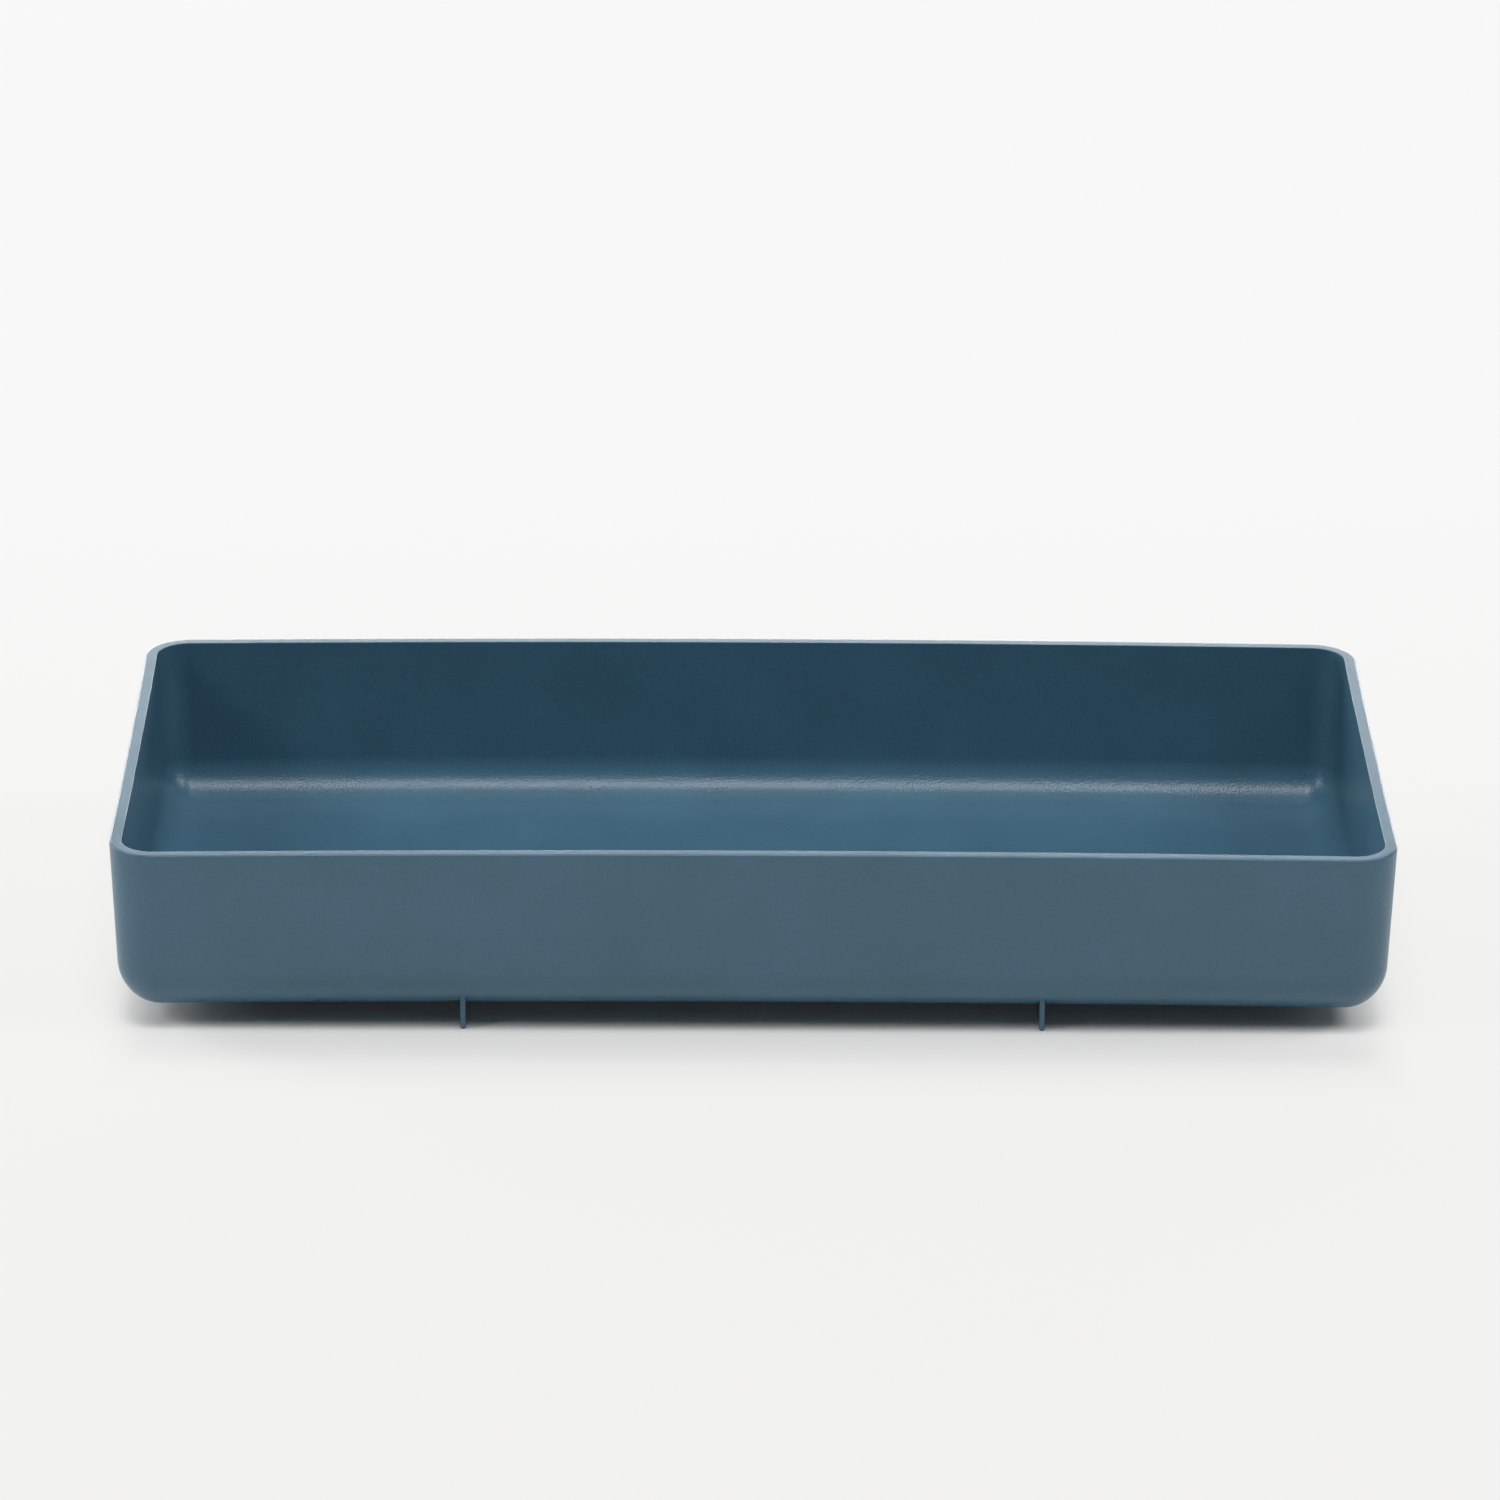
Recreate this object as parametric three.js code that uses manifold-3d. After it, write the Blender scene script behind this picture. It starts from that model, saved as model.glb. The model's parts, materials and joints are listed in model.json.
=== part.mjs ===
import * as THREE from 'three';
import { mergeVertices } from 'three/addons/utils/BufferGeometryUtils.js';
import Module from 'manifold-3d';

// A shallow rectangular tray: one moulded shell that stands on two thin runners.
// Sizes are in millimetres. X runs along the tray, Y from its front to its back, and Z up.
// The runners' feet stand on z = 0, and the tray is centred on x = 0, y = 0.

// The shell
const rimLength = 320;
const rimWidth = 148;
const shellHeight = 44.6;
const wallThickness = 3;
const draftAngle = THREE.MathUtils.degToRad(2.2);
const cornerRadius = 11.2;
const cornerShrink = 0.92;
const leastCornerRadius = 1.2;
const baseFilletRadius = 12.8;
const rimOuterRounding = 0.45;
const rimInnerRounding = 0.15;

// The runners under it
const standHeight = 4.7;
const runnerSpacing = 144.6;
const runnerSetback = 5;
const runnerRootThickness = 1.5;
const runnerFootThickness = 1.05;
const runnerFootRounding = 0.25;
const runnerCornerRadius = 0.3;

// The groove that each runner is seated in
const seatDepth = 1.2;
const seatClearance = 0.3;

// Facets along each kind of curve
const cornerSteps = 16;
const filletSteps = 16;
const roundingSteps = 4;
const runnerCornerSteps = 3;

const quarterTurn = Math.PI / 2;
const rimHeight = standHeight + shellHeight;

// A level of a loft: a rounded rectangle at one height
function level(halfLength, halfWidth, radius, height) {
  return { halfLength, halfWidth, radius, height };
}

// The level's outline, counter-clockwise seen from above, with the same number of points at every level
function outlinePoints({ halfLength, halfWidth, radius, height }, steps) {
  const points = [];
  for (let corner = 0; corner < 4; corner += 1) {
    const startAngle = corner * quarterTurn;
    const middle = startAngle + quarterTurn / 2;
    const centreX = Math.sign(Math.cos(middle)) * (halfLength - radius);
    const centreY = Math.sign(Math.sin(middle)) * (halfWidth - radius);
    for (let step = 0; step <= steps; step += 1) {
      const angle = startAngle + (quarterTurn * step) / steps;
      const x = centreX + radius * Math.cos(angle);
      const y = centreY + radius * Math.sin(angle);
      points.push(new THREE.Vector3(x, y, height));
    }
  }
  return points;
}

// A closed body through the levels in order, with a flat cap on the first and on the last one.
// The levels start underneath. They may climb the outside and come down again on the inside.
function loft(levels, steps) {
  const rings = levels.map((each) => outlinePoints(each, steps));
  const count = rings[0].length;
  const index = [];
  for (let ring = 0; ring + 1 < rings.length; ring += 1) {
    for (let i = 0; i < count; i += 1) {
      const a = ring * count + i;
      const b = ring * count + ((i + 1) % count);
      index.push(a, b, b + count);
      index.push(a, b + count, a + count);
    }
  }
  const lastStart = (rings.length - 1) * count;
  const flatOutline = (ring) => ring.map(({ x, y }) => new THREE.Vector2(x, y));
  for (const [a, b, c] of THREE.ShapeUtils.triangulateShape(flatOutline(rings[0]), [])) {
    index.push(a, c, b);
  }
  for (const [a, b, c] of THREE.ShapeUtils.triangulateShape(flatOutline(rings.at(-1)), [])) {
    index.push(lastStart + a, lastStart + b, lastStart + c);
  }
  const geometry = new THREE.BufferGeometry().setFromPoints(rings.flat());
  geometry.setIndex(index);
  return geometry;
}

// The levels of a curve that turns about a centre given by its inset from the rim and its height.
// An angle of 0 points straight out of the tray, and a quarter turn straight up.
function arcLevels(centre, radius, fromAngle, toAngle, steps, levelAt) {
  const levels = [];
  for (let step = 0; step <= steps; step += 1) {
    const angle = fromAngle + ((toAngle - fromAngle) * step) / steps;
    const inset = centre.inset - radius * Math.cos(angle);
    levels.push(levelAt(inset, centre.height + radius * Math.sin(angle)));
  }
  return levels;
}

// A level of the shell, drawn in from the rim by the inset. The corner's centre hardly moves,
// so its radius shrinks by most of the inset, down to the least one that the mould has at the base.
function shellLevel(inset, height) {
  const radius = Math.max(cornerRadius - cornerShrink * inset, leastCornerRadius);
  return level(rimLength / 2 - inset, rimWidth / 2 - inset, radius, height);
}

// The large curve between wall and floor is centred here, for the outside and the inside alike
const filletCentre = {
  inset: (shellHeight - baseFilletRadius) * Math.tan(draftAngle) + baseFilletRadius / Math.cos(draftAngle),
  height: standHeight + baseFilletRadius,
};

// The fillet at a depth under the outer skin, from the wall down to the flat floor
function filletLevels(depth) {
  const radius = baseFilletRadius - depth;
  return arcLevels(filletCentre, radius, -draftAngle, -quarterTurn, filletSteps, shellLevel);
}

// The softened outer edge of the rim, from the wall up to the flat
function rimOuterLevels() {
  const radius = rimOuterRounding;
  const centre = {
    inset: radius * Math.tan(draftAngle) + radius / Math.cos(draftAngle),
    height: rimHeight - radius,
  };
  return arcLevels(centre, radius, -draftAngle, quarterTurn, roundingSteps, shellLevel);
}

// The crisper inner edge of the rim, from the flat down to the inner wall
function rimInnerLevels() {
  const radius = rimInnerRounding;
  const centre = {
    inset: (wallThickness - radius) / Math.cos(draftAngle) + radius * Math.tan(draftAngle),
    height: rimHeight - radius,
  };
  return arcLevels(centre, radius, quarterTurn, Math.PI - draftAngle, roundingSteps, shellLevel);
}

// The whole shell: up the outside, over the rim and down the inside to the floor
function shellGeometry() {
  const outside = filletLevels(0).reverse();
  const inside = filletLevels(wallThickness);
  return loft([...outside, ...rimOuterLevels(), ...rimInnerLevels(), ...inside], cornerSteps);
}

// A solid block of the tray's outer form, at a depth under its skin
function formGeometry(depth) {
  const rimLevel = shellLevel(depth / Math.cos(draftAngle), rimHeight);
  return loft([...filletLevels(depth).reverse(), rimLevel], cornerSteps);
}

// A level of a runner, a thin drafted blade that thickens from its foot to its root under the shell
function runnerLevel(inset, height, clearance) {
  const draft = ((runnerRootThickness - runnerFootThickness) / 2 / standHeight) * height;
  const halfThickness = runnerFootThickness / 2 + draft + clearance - inset;
  const halfLength = rimWidth / 2 - runnerSetback + draft + clearance - inset;
  return level(halfThickness, halfLength, runnerCornerRadius + clearance - inset, height);
}

// A tall blade with a rounded foot, which still has to be cut off along the shell's underside
function bladeGeometry(clearance) {
  const centre = { inset: runnerFootRounding, height: runnerFootRounding };
  const levelAt = (inset, height) => runnerLevel(inset, height, clearance);
  const foot = arcLevels(centre, runnerFootRounding, -quarterTurn, 0, roundingSteps, levelAt);
  return loft([...foot, levelAt(0, filletCentre.height)], runnerCornerSteps);
}

// Solids for cutting, and back to geometry

const manifoldLibrary = await Module();
manifoldLibrary.setup();

function toSolid(geometry) {
  const bare = geometry.clone();
  bare.deleteAttribute('normal');
  bare.deleteAttribute('uv');
  const merged = mergeVertices(bare, 1e-5);
  const vertProperties = new Float32Array(merged.attributes.position.array);
  const triVerts = new Uint32Array(merged.index.array);
  const mesh = new manifoldLibrary.Mesh({ numProp: 3, vertProperties, triVerts });
  return new manifoldLibrary.Manifold(mesh);
}

function toGeometry(solid) {
  const { vertProperties, triVerts, numProp } = solid.getMesh();
  const geometry = new THREE.BufferGeometry();
  const positions = new Float32Array((vertProperties.length / numProp) * 3);
  for (let i = 0; i < positions.length / 3; i += 1) {
    positions[3 * i] = vertProperties[numProp * i];
    positions[3 * i + 1] = vertProperties[numProp * i + 1];
    positions[3 * i + 2] = vertProperties[numProp * i + 2];
  }
  geometry.setAttribute('position', new THREE.BufferAttribute(positions, 3));
  geometry.setIndex(new THREE.BufferAttribute(new Uint32Array(triVerts), 1));
  const flatShaded = geometry.toNonIndexed();
  flatShaded.computeVertexNormals();
  return flatShaded;
}

// The blade at a place along the tray, cut off where it reaches a depth under the shell's skin.
// The runner itself and the groove for it are both made this way, the groove larger by its clearance.
function bladeUnderShell(x, depth, clearance) {
  const blade = toSolid(bladeGeometry(clearance)).translate([x, 0, 0]);
  return blade.subtract(toSolid(formGeometry(depth)));
}

function runnerMesh(name, x) {
  const solid = bladeUnderShell(x, seatDepth, 0).translate([-x, 0, 0]);
  const runner = new THREE.Mesh(toGeometry(solid), matteBluePlastic());
  runner.name = name;
  runner.position.x = x;
  return runner;
}

function shellMesh(runnerPlaces) {
  let solid = toSolid(shellGeometry());
  for (const x of runnerPlaces) {
    solid = solid.subtract(bladeUnderShell(x, seatDepth + seatClearance, seatClearance));
  }
  const shell = new THREE.Mesh(toGeometry(solid), matteBluePlastic());
  shell.name = 'tray_shell';
  return shell;
}

// Coloured in the mass, with a fine matte moulded grain
function matteBluePlastic() {
  return new THREE.MeshStandardMaterial({ color: 0x466f89, roughness: 0.55, metalness: 0 });
}

const leftPlace = -runnerSpacing / 2;
const rightPlace = runnerSpacing / 2;

const tray = new THREE.Group();
tray.name = 'tray';
tray.add(shellMesh([leftPlace, rightPlace]));
tray.add(runnerMesh('left_runner', leftPlace));
tray.add(runnerMesh('right_runner', rightPlace));

export default tray;
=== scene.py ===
# %% [markdown]
# # A moulded desk tray in Blender
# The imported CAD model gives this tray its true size, and Blender gives it its looks. The tray is one
# thin shell of matte blue-grey plastic that stands on two thin blades. In this lesson we measure the
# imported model, model the shell again as a fine mesh with smooth curves, make the plastic from nodes,
# and light it softly from above, so that the long hollow curve inside the tray catches the light.

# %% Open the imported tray
import json
import math

import bmesh
import bpy
from mathutils import Matrix, Vector
from mathutils.bvhtree import BVHTree


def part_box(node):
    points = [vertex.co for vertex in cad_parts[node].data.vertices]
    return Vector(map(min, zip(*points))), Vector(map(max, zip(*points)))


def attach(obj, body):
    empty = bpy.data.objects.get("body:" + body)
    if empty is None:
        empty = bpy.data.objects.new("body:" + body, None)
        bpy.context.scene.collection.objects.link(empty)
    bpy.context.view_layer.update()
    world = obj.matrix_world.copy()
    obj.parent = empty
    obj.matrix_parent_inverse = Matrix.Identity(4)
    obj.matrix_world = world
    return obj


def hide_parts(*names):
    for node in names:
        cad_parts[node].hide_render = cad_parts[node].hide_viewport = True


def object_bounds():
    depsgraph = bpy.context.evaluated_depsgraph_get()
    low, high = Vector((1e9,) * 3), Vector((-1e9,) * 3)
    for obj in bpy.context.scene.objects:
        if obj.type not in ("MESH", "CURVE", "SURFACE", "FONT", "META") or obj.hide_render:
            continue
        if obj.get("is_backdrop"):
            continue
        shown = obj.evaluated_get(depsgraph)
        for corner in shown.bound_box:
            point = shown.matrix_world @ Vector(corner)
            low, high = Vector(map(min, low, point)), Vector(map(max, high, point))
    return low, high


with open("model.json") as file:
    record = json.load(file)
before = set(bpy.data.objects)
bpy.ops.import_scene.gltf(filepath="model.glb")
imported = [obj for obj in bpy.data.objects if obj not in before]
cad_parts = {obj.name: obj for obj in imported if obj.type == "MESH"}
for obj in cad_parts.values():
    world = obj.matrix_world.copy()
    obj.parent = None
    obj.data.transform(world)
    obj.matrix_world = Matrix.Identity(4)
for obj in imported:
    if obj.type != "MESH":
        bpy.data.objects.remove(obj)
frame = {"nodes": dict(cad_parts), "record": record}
cad_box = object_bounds()
print("the packed tray has the nodes", sorted(frame["nodes"]))

# %% [markdown]
# ## Sizes
# Everything is in metres, as always in Blender's own units, so sizes in millimetres are multiplied
# by MM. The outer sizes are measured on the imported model. The wall is the distance between its two
# flat faces, which the record names tray_floor and underside. What can't be measured on a box, such
# as the slope of the walls, is written here as the mould maker would write it.

# %% Measure the shell
MM = 0.001
WALL_DRAFT = math.radians(2.2)
CORNER_RADIUS = 11.2 * MM
CORNER_SHRINK = 0.92
LEAST_CORNER_RADIUS = 1.2 * MM
BASE_FILLET_RADIUS = 12.8 * MM
RIM_OUTER_ROUNDING = 0.45 * MM
RIM_INNER_ROUNDING = 0.15 * MM

shell_low, shell_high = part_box("tray_shell")
face_heights = {mount["name"]: mount["pos_m"][2] for mount in frame["record"]["mounts"]}
wall_thickness = face_heights["tray_floor"] - face_heights["underside"]
rim_height = shell_high.z
stand_height = shell_low.z

# Rounding the top edge of a sloping wall takes a hair off its widest outline
rounding_loss = RIM_OUTER_ROUNDING * (
    math.tan(WALL_DRAFT) + 1 / math.cos(WALL_DRAFT) - math.cos(WALL_DRAFT)
)
half_length = shell_high.x + rounding_loss
half_width = shell_high.y + rounding_loss
print(f"rim {2000 * half_length:.2f} by {2000 * half_width:.2f} mm, wall {1000 * wall_thickness:.2f} mm")
print(f"the shell stands {1000 * stand_height:.2f} mm up and ends {1000 * rim_height:.2f} mm up")

# %% [markdown]
# ## The section of the wall
# A moulder draws such a tray as one section that runs round a rounded rectangle. Each point of the
# section has an inset, which is its distance inwards from the rim's outline, and a height. We walk
# along it from the flat base up the outside, over the rim and down the inside to the floor. Curves
# are arcs about a centre, so the hollow inside and the fillet outside share one centre, and the
# wall keeps its thickness through the bend.

# %% Draw the section
FILLET_STEPS = 28
ROUNDING_STEPS = 5
WALL_STEPS = 6
RIM_STEPS = 3


def arc(centre, radius, start, end, steps):
    """Points (inset, height) on an arc. Angle 0 points out of the tray, a quarter turn points up."""
    points = []
    for step in range(steps + 1):
        angle = start + (end - start) * step / steps
        points.append((centre[0] - radius * math.cos(angle), centre[1] + radius * math.sin(angle)))
    return points


def straight(start, end, steps):
    """Points between two points of the section, without the two themselves."""
    return [
        (
            start[0] + (end[0] - start[0]) * step / steps,
            start[1] + (end[1] - start[1]) * step / steps,
        )
        for step in range(1, steps)
    ]


down = -math.pi / 2
up = math.pi / 2
wall_drop = rim_height - stand_height - BASE_FILLET_RADIUS
fillet_centre = (
    wall_drop * math.tan(WALL_DRAFT) + BASE_FILLET_RADIUS / math.cos(WALL_DRAFT),
    stand_height + BASE_FILLET_RADIUS,
)
rim_outer_centre = (
    RIM_OUTER_ROUNDING * (math.tan(WALL_DRAFT) + 1 / math.cos(WALL_DRAFT)),
    rim_height - RIM_OUTER_ROUNDING,
)
rim_inner_centre = (
    (wall_thickness - RIM_INNER_ROUNDING) / math.cos(WALL_DRAFT)
    + RIM_INNER_ROUNDING * math.tan(WALL_DRAFT),
    rim_height - RIM_INNER_ROUNDING,
)

outer_fillet = arc(fillet_centre, BASE_FILLET_RADIUS, down, -WALL_DRAFT, FILLET_STEPS)
outer_rounding = arc(rim_outer_centre, RIM_OUTER_ROUNDING, -WALL_DRAFT, up, ROUNDING_STEPS)
inner_rounding = arc(rim_inner_centre, RIM_INNER_ROUNDING, up, math.pi - WALL_DRAFT, ROUNDING_STEPS)
inner_cove = arc(fillet_centre, BASE_FILLET_RADIUS - wall_thickness, -WALL_DRAFT, down, FILLET_STEPS)

section = [
    *outer_fillet,
    *straight(outer_fillet[-1], outer_rounding[0], WALL_STEPS),
    *outer_rounding,
    *straight(outer_rounding[-1], inner_rounding[0], RIM_STEPS),
    *inner_rounding,
    *straight(inner_rounding[-1], inner_cove[0], WALL_STEPS),
    *inner_cove,
]
print("the section has", len(section), "points")

# %% [markdown]
# ## The outline
# Seen from above, each level of the tray is a rounded rectangle. The centres of its corners hardly
# move, so their radius shrinks by most of the inset, down to the least radius that the mould has at
# the base. The sides get points of their own between the corners, because the next step bends them.

# %% Draw a level of the tray
CORNER_STEPS = 18
LONG_SIDE_STEPS = 48
SHORT_SIDE_STEPS = 28


def outline(inset):
    """Points (x, y) round the tray at an inset, counter-clockwise, from the middle of the right end."""
    radius = max(CORNER_RADIUS - CORNER_SHRINK * inset, LEAST_CORNER_RADIUS)
    corner_x = half_length - inset - radius
    corner_y = half_width - inset - radius
    points = []
    for side in range(4):
        along_end = side % 2 == 0
        middle = side * math.pi / 2 + math.pi / 4
        sign_x = math.copysign(1, math.cos(middle))
        sign_y = math.copysign(1, math.sin(middle))
        centre = Vector((sign_x * corner_x, sign_y * corner_y))
        for step in range(CORNER_STEPS + 1):
            angle = (side + step / CORNER_STEPS) * math.pi / 2
            points.append(centre + radius * Vector((math.cos(angle), math.sin(angle))))
        # The straight side after this corner leads to the next one
        steps = LONG_SIDE_STEPS if along_end else SHORT_SIDE_STEPS
        last = points[-1]
        reach = Vector((-2 * corner_x, 0)) if along_end else Vector((0, -2 * corner_y))
        if side >= 2:
            reach = -reach
        points.extend(last + reach * step / steps for step in range(1, steps))
    return points


points_per_level = len(outline(0))
print("each level has", points_per_level, "points")

# %% [markdown]
# ## The set that the mould leaves
# A long moulded tray never cools quite flat. This one arches by about a millimetre, so its two ends
# lie lower than its middle, and its end walls sink a third of a millimetre between the stiff
# corners. These bends are hardly seen, but straight lines without them look like a drawing. They
# only ever take the shell inwards and down, so it stays inside the size that was drawn.

# %% Bend a point as the moulding sets
ARCH = 1.09 * MM
END_WALL_LEAN = 0.008
END_WALL_HINGE = 37 * MM
HINGE_SOFTNESS = 3 * MM
SINK_REACH = 0.6


def past_hinge(distance):
    """How far a point lies past the end wall's hinge, with a soft start instead of a kink."""
    past = distance - END_WALL_HINGE
    return (math.hypot(past, HINGE_SOFTNESS) + past) / 2


def as_moulded(x, y, z):
    """The place that a point of the drawn shell has on the moulded one."""
    end_share = max(-1, min(1, x / (SINK_REACH * half_length)))
    sunk = END_WALL_LEAN * (past_hinge(half_width) - past_hinge(abs(y)))
    return Vector((x - end_share * sunk, y, z - ARCH * (x / half_length) ** 2))


# %% [markdown]
# ## The shell as one mesh
# Now each point of the section becomes a ring of vertices, and neighbouring rings are joined with
# four-sided faces. The flat base and the flat floor are filled with more rings, which shrink onto a
# line along the middle of the tray. So the flats have vertices of their own and follow the arch.

# %% Build the moulded shell
FLAT_RINGS = 6
WELD_DISTANCE = 0.001 * MM


def towards_spine(point, share):
    """Moves a point of an outline towards the line along the tray's middle."""
    spine_end = half_length - half_width
    spine_point = Vector((max(-spine_end, min(spine_end, point.x)), 0))
    return point.lerp(spine_point, share)


def flat_rings(inset, height):
    """Rings that fill a flat face, from its outline inwards to the line along the middle."""
    edge = outline(inset)
    rings = []
    for ring in range(1, FLAT_RINGS + 1):
        shrunk = [towards_spine(point, ring / FLAT_RINGS) for point in edge]
        rings.append([as_moulded(point.x, point.y, height) for point in shrunk])
    return rings


def shell_rings():
    """All rings of the shell, from the middle of its base to the middle of its floor."""
    base = flat_rings(*section[0])
    floor = flat_rings(*section[-1])
    walls = [
        [as_moulded(point.x, point.y, height) for point in outline(inset)]
        for inset, height in section
    ]
    return [*reversed(base), *walls, *floor]


def skin(name, rings):
    """Makes an object from rings of points, with faces between neighbouring rings."""
    mesh = bmesh.new()
    levels = [[mesh.verts.new(point) for point in ring] for ring in rings]
    for lower, upper in zip(levels, levels[1:]):
        for i in range(len(lower)):
            j = (i + 1) % len(lower)
            mesh.faces.new((lower[i], lower[j], upper[j], upper[i]))
    bmesh.ops.remove_doubles(mesh, verts=mesh.verts, dist=WELD_DISTANCE)
    bmesh.ops.recalc_face_normals(mesh, faces=mesh.faces)
    for face in mesh.faces:
        face.smooth = True
    data = bpy.data.meshes.new(name)
    mesh.to_mesh(data)
    mesh.free()
    piece = bpy.data.objects.new(name, data)
    bpy.context.scene.collection.objects.link(piece)
    return piece


moulded_shell = skin("moulded_shell", shell_rings())
moulded_shell.modifiers.new("normals led by the large faces", "WEIGHTED_NORMAL")
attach(moulded_shell, "root")
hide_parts("tray_shell")
print("the moulded shell has", len(moulded_shell.data.polygons), "faces")

# %% [markdown]
# ## The runners
# Each runner is a thin blade that stands on edge under the shell, from front to back. We cut it into
# stations along its length. At every station its section is the same: a rounded foot and two nearly
# upright sides. Only the top edge changes, because it has to follow the curve under the shell and
# end a little inside the wall. The two ends are drawn in, so that their edges are soft.

# %% Build the runners
FOOT_THICKNESS = 1.2 * MM
ROOT_THICKNESS = 1.35 * MM
FOOT_ROUNDING = 0.25 * MM
END_ROUNDING = 0.3 * MM
ROOT_DEPTH = 1.0 * MM
RUNNER_STATIONS = 40
END_STEPS = 4


def underside_height(y):
    """How high the drawn shell's outer skin lies above the table, at a distance from its middle."""
    flat_width = half_width - fillet_centre[0]
    past_flat = max(0, abs(y) - flat_width)
    return fillet_centre[1] - math.sqrt(BASE_FILLET_RADIUS**2 - past_flat**2)


def runner_section(x, y, drawn_in):
    """The blade's section at one station, round from its left top edge over the foot."""
    top = underside_height(y) + ROOT_DEPTH
    right_side = []
    for step in range(ROUNDING_STEPS + 1):
        angle = step / ROUNDING_STEPS * math.pi / 2
        half_foot = FOOT_THICKNESS / 2 - FOOT_ROUNDING * (1 - math.sin(angle))
        right_side.append((half_foot, FOOT_ROUNDING * (1 - math.cos(angle))))
    right_side.extend([(ROOT_THICKNESS / 2, stand_height), (ROOT_THICKNESS / 2, top)])
    half_section = [(half - drawn_in, height) for half, height in right_side]
    left = [Vector((x - half, y, height)) for half, height in reversed(half_section)]
    right = [Vector((x + half, y, height)) for half, height in half_section]
    return [*left, *right]


def runner_rings(low, high):
    """The sections of a runner from front to back, between the corners of its packed box."""
    middle = (low.x + high.x) / 2
    stations = []
    for step in range(END_STEPS + 1):
        angle = step / END_STEPS * math.pi / 2
        from_end = END_ROUNDING * (1 - math.sin(angle))
        drawn_in = END_ROUNDING * (1 - math.cos(angle))
        stations.append((low.y + from_end, drawn_in))
    front = sorted(stations)
    back = [(low.y + high.y - y, drawn_in) for y, drawn_in in reversed(front)]
    start, end = front[-1][0], back[0][0]
    between = [(start + (end - start) * step / RUNNER_STATIONS, 0) for step in range(1, RUNNER_STATIONS)]
    return [runner_section(middle, y, drawn_in) for y, drawn_in in [*front, *between, *back]]


def close_ends(piece, points_per_ring):
    """Fills the open first and last ring of a piece."""
    mesh = bmesh.new()
    mesh.from_mesh(piece.data)
    mesh.verts.ensure_lookup_table()
    for ring in (mesh.verts[:points_per_ring], mesh.verts[-points_per_ring:]):
        mesh.faces.new(ring)
    bmesh.ops.recalc_face_normals(mesh, faces=mesh.faces)
    mesh.to_mesh(piece.data)
    mesh.free()


runners = []
for side in ("left", "right"):
    rings = runner_rings(*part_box(side + "_runner"))
    runner = skin(side + "_blade", rings)
    close_ends(runner, len(rings[0]))
    runner.modifiers.new("normals led by the large faces", "WEIGHTED_NORMAL")
    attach(runner, "root")
    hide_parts(side + "_runner")
    runners.append(runner)
    print(runner.name, "has", len(runner.data.polygons), "faces")

# %% [markdown]
# ## How far is it from the drawing?
# The modelled shell stands for the CAD solid, so it has to keep its size. We take a sample of its
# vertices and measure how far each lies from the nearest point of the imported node. The arch alone
# should give about a millimetre at the ends, and nothing should lie outside the box.

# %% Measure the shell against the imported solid
VERTEX_STRIDE = 37

packed_mesh = bmesh.new()
packed_mesh.from_mesh(frame["nodes"]["tray_shell"].data)
packed_faces = BVHTree.FromBMesh(packed_mesh)
packed_mesh.free()
distances = []
for vertex in list(moulded_shell.data.vertices)[::VERTEX_STRIDE]:
    # The distance comes last, after the nearest point, its normal and its face
    distances.append(packed_faces.find_nearest(vertex.co)[-1])
print(f"mean distance from the drawing {1000 * sum(distances) / len(distances):.2f} mm")
print(f"greatest distance {1000 * max(distances):.2f} mm")

# %% [markdown]
# ## Matte moulded plastic
# The tray is coloured in the mass, and its mould was spark-eroded, which leaves a fine even grain of
# shallow pits, half a millimetre to one millimetre wide. The grain is too small for the mesh, so it
# is a bump in the material. It makes the plastic sparkle faintly where it mirrors the lamp. The colour
# itself varies by only a few hundredths, in soft clouds, as coloured granulate does when it flows,
# and in specks of the grain's own size, which are painted light and shade of the pits. Nodes take
# many lines to add and link, so four small helpers do that first.

# %% Add nodes with helpers
def add_node(tree, kind, **values):
    """Adds a node and sets its values: an attribute by its name, an input by its title."""
    node = tree.nodes.new(kind)
    for key, value in values.items():
        if hasattr(node, key):
            setattr(node, key, value)
        else:
            node.inputs[key.replace("_", " ")].default_value = value
    return node


def maths(tree, operation, *sockets):
    """Works out one value from others, and gives the socket that it comes from."""
    node = add_node(tree, "ShaderNodeMath", operation=operation)
    for socket, value in zip(node.inputs, sockets):
        tree.links.new(value, socket)
    return node.outputs["Value"]


def remap(tree, value, old, new=(0, 1), interpolation="LINEAR"):
    """Turns the old range of a value into the new one, and gives the socket that it comes from."""
    node = add_node(tree, "ShaderNodeMapRange", interpolation_type=interpolation)
    for title, number in zip(("From Min", "From Max", "To Min", "To Max"), (*old, *new)):
        node.inputs[title].default_value = number
    tree.links.new(value, node.inputs["Value"])
    return node.outputs["Result"]


def blend(tree, share, first, second):
    """Mixes two colours, of which the first may be a socket, and gives the socket of the mix."""
    node = add_node(tree, "ShaderNodeMix", data_type="RGBA")
    # This node has sockets for numbers and vectors too, and inputs 6 and 7 are those for colours
    tree.links.new(share, node.inputs[0])
    if isinstance(first, tuple):
        node.inputs[6].default_value = first
    else:
        tree.links.new(first, node.inputs[6])
    node.inputs[7].default_value = second
    return node.outputs[2]


print("four helpers for nodes are ready")
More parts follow.
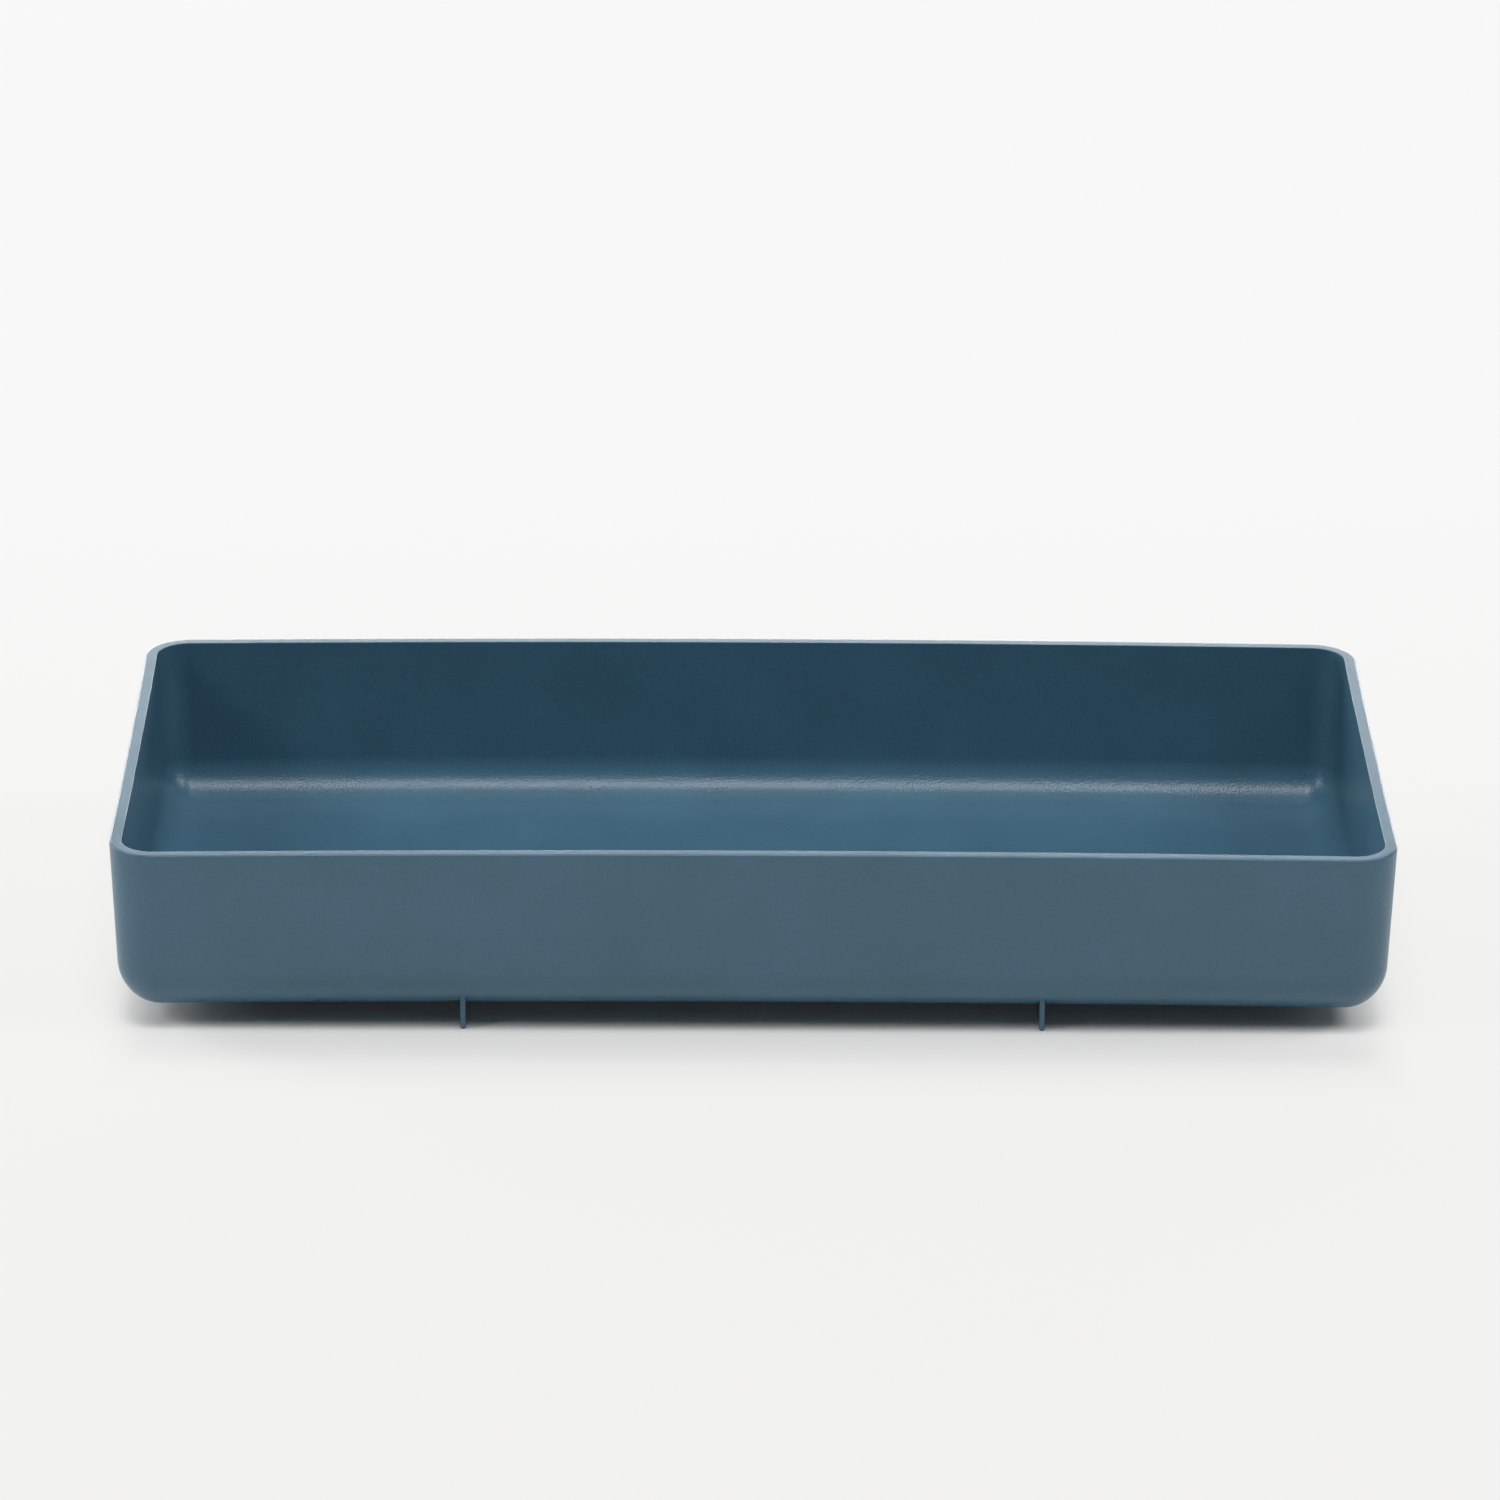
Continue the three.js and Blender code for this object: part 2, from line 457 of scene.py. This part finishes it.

# %% [markdown]
# The plastic itself needs three patterns, which all lie in the tray's own space: clouds, grain and
# pits. Clouds and grain together tint the colour and the gloss. Grain and pits together give the
# bump. Pointiness tells where the surface bulges, and there the colour is painted paler, as a
# painted highlight along the edges.

# %% Mix the plastic
BODY_COLOUR = (0.0545, 0.137, 0.205, 1)
CLOUD_COLOUR = (0.0655, 0.163, 0.243, 1)
# A painted highlight: the paler colour of the edges, where the surface bulges
EDGE_HIGHLIGHT_COLOUR = (0.095, 0.205, 0.300, 1)
CLOUDS_PER_METRE = 45
GRAIN_PER_METRE = 1200
PITS_PER_METRE = 1900
SPECKLE_RANGE = (0.7, 1.3)
ROUGHNESS = (0.29, 0.35)
EDGE_HIGHLIGHT_POINTINESS = (0.53, 0.62)
MOST_EDGE_HIGHLIGHT = 0.35
GRAIN_DEPTH = 0.1 * MM
GRAIN_STRENGTH = 0.5
RIM_GRAIN_STRENGTH = 0.03
GRAIN_RUNS_OUT = (rim_height - 2.4 * MM, rim_height - 1.5 * MM)


def moulded_plastic():
    """Matte blue-grey plastic with a fine spark-eroded grain."""
    material = bpy.data.materials.new("blue_grey_plastic")
    material.use_nodes = True
    tree = material.node_tree
    link = tree.links.new
    shader = tree.nodes["Principled BSDF"]
    place = add_node(tree, "ShaderNodeTexCoord").outputs["Object"]
    clouds = add_node(tree, "ShaderNodeTexNoise", Scale=CLOUDS_PER_METRE, Detail=3)
    grain = add_node(tree, "ShaderNodeTexNoise", Scale=GRAIN_PER_METRE, Detail=2, Roughness=0.6)
    pits = add_node(tree, "ShaderNodeTexVoronoi", Scale=PITS_PER_METRE)
    for pattern in (clouds, grain, pits):
        link(place, pattern.inputs["Vector"])

    # The clouds are the plastic's own tone; the grain's specks in the colour are painted pit shade and
    # light
    speckle = maths(tree, "ADD", clouds.outputs["Fac"], grain.outputs["Fac"])
    body = blend(tree, remap(tree, speckle, SPECKLE_RANGE), BODY_COLOUR, CLOUD_COLOUR)
    link(remap(tree, speckle, SPECKLE_RANGE, ROUGHNESS), shader.inputs["Roughness"])

    # Painted highlight: the sharp edges are painted a little paler, where the surface bulges most
    pointiness = add_node(tree, "ShaderNodeNewGeometry").outputs["Pointiness"]
    painted_edge_highlight = remap(tree, pointiness, EDGE_HIGHLIGHT_POINTINESS, (0, MOST_EDGE_HIGHLIGHT))
    link(blend(tree, painted_edge_highlight, body, EDGE_HIGHLIGHT_COLOUR), shader.inputs["Base Color"])

    # The rim is seen as a thin even line, so the grain runs out before it reaches the top
    axes = add_node(tree, "ShaderNodeSeparateXYZ")
    link(place, axes.inputs["Vector"])
    strength = remap(tree, axes.outputs["Z"], GRAIN_RUNS_OUT, (GRAIN_STRENGTH, RIM_GRAIN_STRENGTH))
    bump = add_node(tree, "ShaderNodeBump", Distance=GRAIN_DEPTH)
    link(strength, bump.inputs["Strength"])
    link(maths(tree, "ADD", grain.outputs["Fac"], pits.outputs["Distance"]), bump.inputs["Height"])
    link(bump.outputs["Normal"], shader.inputs["Normal"])
    return material


plastic = moulded_plastic()
for piece in (moulded_shell, *runners):
    piece.data.materials.append(plastic)
print("plastic on", moulded_shell.name, "and both runners")

# %% [markdown]
# ## The table
# The tray stands on a plain white table that runs out of the picture on all sides. Right round the
# tray it is mostly a real matt surface, which catches the soft shadow and throws white light back
# under the walls, though a small share of glow paints a little light into that shadow too. Farther
# out the camera sees it as a white glow, as a photographer would get by lighting the paper behind
# the object on its own. That glow is painted light, which covers the shadows that the lamps cast
# there, and it is painted a little darker and warmer towards the front than at the back. Only the
# camera and rays that are mirrored or let through see that glow. To all other light the table is
# plain paper.

# %% Lay the table
TABLE_REACH = 6.0
TABLE_DROP = 0.02 * MM
TABLE_COLOUR = (0.86, 0.855, 0.835, 1)
PAPER_ROUGHNESS = 0.9
# The least share paints a little light into the shadow under the tray
GLOW_SHARE = (0.014, 0.85)
# Painted shade: the glow is darker and warmer in front than behind, as light falls on the table
GLOW_FRONT = (0.893, 0.891, 0.875, 1)
GLOW_BACK = (0.945, 0.945, 0.947, 1)
GLOW_DEPTH = (-150 * MM, 350 * MM)
SIDE_FADE = (146 * MM, 165 * MM)
FRONT_FADE = (76 * MM, 114 * MM)


def table_top():
    """A large flat sheet just under the runners' feet."""
    mesh = bmesh.new()
    corners = ((-1, -1), (1, -1), (1, 1), (-1, 1))
    mesh.faces.new([mesh.verts.new((x * TABLE_REACH, y * TABLE_REACH, -TABLE_DROP)) for x, y in corners])
    data = bpy.data.meshes.new("table")
    mesh.to_mesh(data)
    mesh.free()
    table = bpy.data.objects.new("table", data)
    bpy.context.scene.collection.objects.link(table)
    return table


def fade(tree, coordinate, start_end):
    """Grows from the least to the full glow as the distance from the middle passes start and end."""
    distance = maths(tree, "ABSOLUTE", coordinate)
    return remap(tree, distance, start_end, GLOW_SHARE, "SMOOTHSTEP")


def white_paper():
    """Matt white paper that looks like a white glow away from the tray, painted darker in front."""
    material = bpy.data.materials.new("white_table")
    material.use_nodes = True
    tree = material.node_tree
    link = tree.links.new
    paper = tree.nodes["Principled BSDF"]
    paper.inputs["Base Color"].default_value = TABLE_COLOUR
    paper.inputs["Roughness"].default_value = PAPER_ROUGHNESS
    paper.inputs["Specular IOR Level"].default_value = 0.0

    place = add_node(tree, "ShaderNodeTexCoord")
    axes = add_node(tree, "ShaderNodeSeparateXYZ")
    link(place.outputs["Object"], axes.inputs["Vector"])
    side_share = fade(tree, axes.outputs["X"], SIDE_FADE)
    front_share = fade(tree, axes.outputs["Y"], FRONT_FADE)
    outside = maths(tree, "MAXIMUM", side_share, front_share)
    rays = add_node(tree, "ShaderNodeLightPath").outputs
    seen_or_mirrored = maths(tree, "MAXIMUM", rays["Is Camera Ray"], rays["Is Glossy Ray"])
    any_view = maths(tree, "MAXIMUM", seen_or_mirrored, rays["Is Transmission Ray"])
    share = maths(tree, "MULTIPLY", outside, any_view)

    glow = add_node(tree, "ShaderNodeEmission")
    way_back = remap(tree, axes.outputs["Y"], GLOW_DEPTH)
    link(blend(tree, way_back, GLOW_FRONT, GLOW_BACK), glow.inputs["Color"])
    mixed = add_node(tree, "ShaderNodeMixShader")
    link(share, mixed.inputs["Fac"])
    link(paper.outputs["BSDF"], mixed.inputs[1])
    link(glow.outputs["Emission"], mixed.inputs[2])
    link(mixed.outputs["Shader"], tree.nodes["Material Output"].inputs["Surface"])
    return material


table = table_top()
table.data.materials.append(white_paper())
table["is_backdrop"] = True
print("the table reaches", TABLE_REACH, "m to each side")

# %% [markdown]
# ## Light
# The curve inside the tray mirrors whatever hangs above it, so the shape of the lamps can be read
# from its bright line. A row of softboxes crosses the table overhead, from the viewer's side to the
# back, and the brightest hangs a little towards the viewer. One box on each side stands forward of
# the tray, which draws the dark triangles in the inner corners. Low panels behind give the rim its
# pale edge. Each lamp is placed by its elevation above the table and by its bearing, counted from
# the right over the back. Its radiance says how bright its surface is. All of them stand at the same
# long distance, because far lamps light the table evenly.

# %% Hang the softboxes
LAMP_DISTANCE = 2.4
LAMP_AIM = Vector((0, 0, 20 * MM))
ROOM_LIGHT = 0.01

# name, elevation, bearing, width, height, radiance
lamps = (
    ("viewer_softbox", 62, 270, 1.0, 0.33, 4.3),
    ("upper_softbox", 70.5, 270, 1.0, 0.33, 9.0),
    ("overhead_softbox", 78.5, 270, 1.0, 0.33, 12.2),
    ("far_softbox", 75, 90, 1.0, 0.33, 5.4),
    ("left_softbox", 38, 198, 0.9, 0.70, 7.0),
    ("right_softbox", 44, 352, 1.0, 0.80, 6.8),
    ("back_panel", 8, 90, 3.0, 0.50, 10.8),
    ("back_left_panel", 15, 150, 1.0, 0.80, 7.3),
    ("back_right_panel", 15, 30, 0.6, 0.60, 2.1),
)


def softbox(name, elevation, bearing, width, height, radiance):
    """A soft lamp of an even brightness, turned to the tray."""
    rise = math.radians(elevation)
    turn = math.radians(bearing)
    toward = Vector((math.cos(rise) * math.cos(turn), math.cos(rise) * math.sin(turn), math.sin(rise)))
    lamp = bpy.data.lights.new(name, "AREA")
    lamp.shape = "RECTANGLE"
    lamp.size = width
    lamp.size_y = height
    lamp.energy = radiance * math.pi * width * height
    box = bpy.data.objects.new(name, lamp)
    box.location = LAMP_AIM + LAMP_DISTANCE * toward
    box.rotation_mode = "QUATERNION"
    box.rotation_quaternion = toward.to_track_quat("Z", "Y")
    bpy.context.scene.collection.objects.link(box)
    return box


for lamp_values in lamps:
    box = softbox(*lamp_values)
    print(box.name, "hangs", round(box.location.z, 2), "m up")

world = bpy.data.worlds.new("studio")
bpy.context.scene.world = world
world.use_nodes = True
room = world.node_tree.nodes["Background"]
room.inputs["Color"].default_value = (1, 1, 1, 1)
room.inputs["Strength"].default_value = ROOM_LIGHT
print("the room around the softboxes has a strength of", ROOM_LIGHT)

# %% [markdown]
# ## The camera
# The photograph was taken from in front and above with a long lens, so the tray's sides hardly
# converge. These values were found by fitting a pinhole camera to the rim, the corners and the
# runners' feet. They are the distance from the point it looks at, how steeply it looks down, and the
# small turn and roll that no tripod ever quite avoids. A focal length in pixels becomes one in
# millimetres through the width of the sensor.

# %% Set up the camera
PHOTO_PIXELS = 1500
SENSOR_WIDTH = 36.0
FOCAL_PIXELS = 7247.0
CAMERA_DISTANCE = 1875.3 * MM
CAMERA_ELEVATION = math.radians(22.085)
CAMERA_TURN = math.radians(-0.444)
CAMERA_ROLL = math.radians(-0.408)
AIM = Vector((-0.47, 16.48, 40.61)) * MM
FAR_CLIP = 20


def camera_on(aim, distance, elevation, turn, roll):
    """A camera that looks at a point from in front and above, turned and rolled a little."""
    heading = Matrix.Rotation(turn, 3, "Z")
    look = heading @ Vector((0, math.cos(elevation), -math.sin(elevation)))
    right = heading @ Vector((1, 0, 0))
    top = right.cross(look)
    rolled_right = right * math.cos(roll) - top * math.sin(roll)
    rolled_top = right * math.sin(roll) + top * math.cos(roll)
    camera = bpy.data.objects.new("camera", bpy.data.cameras.new("camera"))
    turned = Matrix((rolled_right, rolled_top, -look)).transposed().to_4x4()
    camera.matrix_world = Matrix.Translation(aim - look * distance) @ turned
    camera.data.sensor_width = SENSOR_WIDTH
    camera.data.lens = FOCAL_PIXELS * SENSOR_WIDTH / PHOTO_PIXELS
    camera.data.clip_end = FAR_CLIP
    bpy.context.scene.collection.objects.link(camera)
    return camera


camera = camera_on(AIM, CAMERA_DISTANCE, CAMERA_ELEVATION, CAMERA_TURN, CAMERA_ROLL)
bpy.context.scene.camera = camera
bpy.context.scene.view_settings.view_transform = "Standard"
print(f"the lens is {camera.data.lens:.0f} mm long")

# %% [markdown]
# ## The size
# At last we print the box round everything that belongs to the tray next to the box of the packed
# model. The dressed tray has to stay inside it, or parts that are built against the imported model
# would no longer fit the one that is seen. Both boxes are printed in millimetres.

# %% Print the sizes
dressed_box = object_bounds()
for title, box in (("packed", cad_box), ("dressed", dressed_box)):
    low_and_high = [[round(1000 * value, 2) for value in corner] for corner in box]
    print(title, "box from", low_and_high[0], "to", low_and_high[1], "mm")
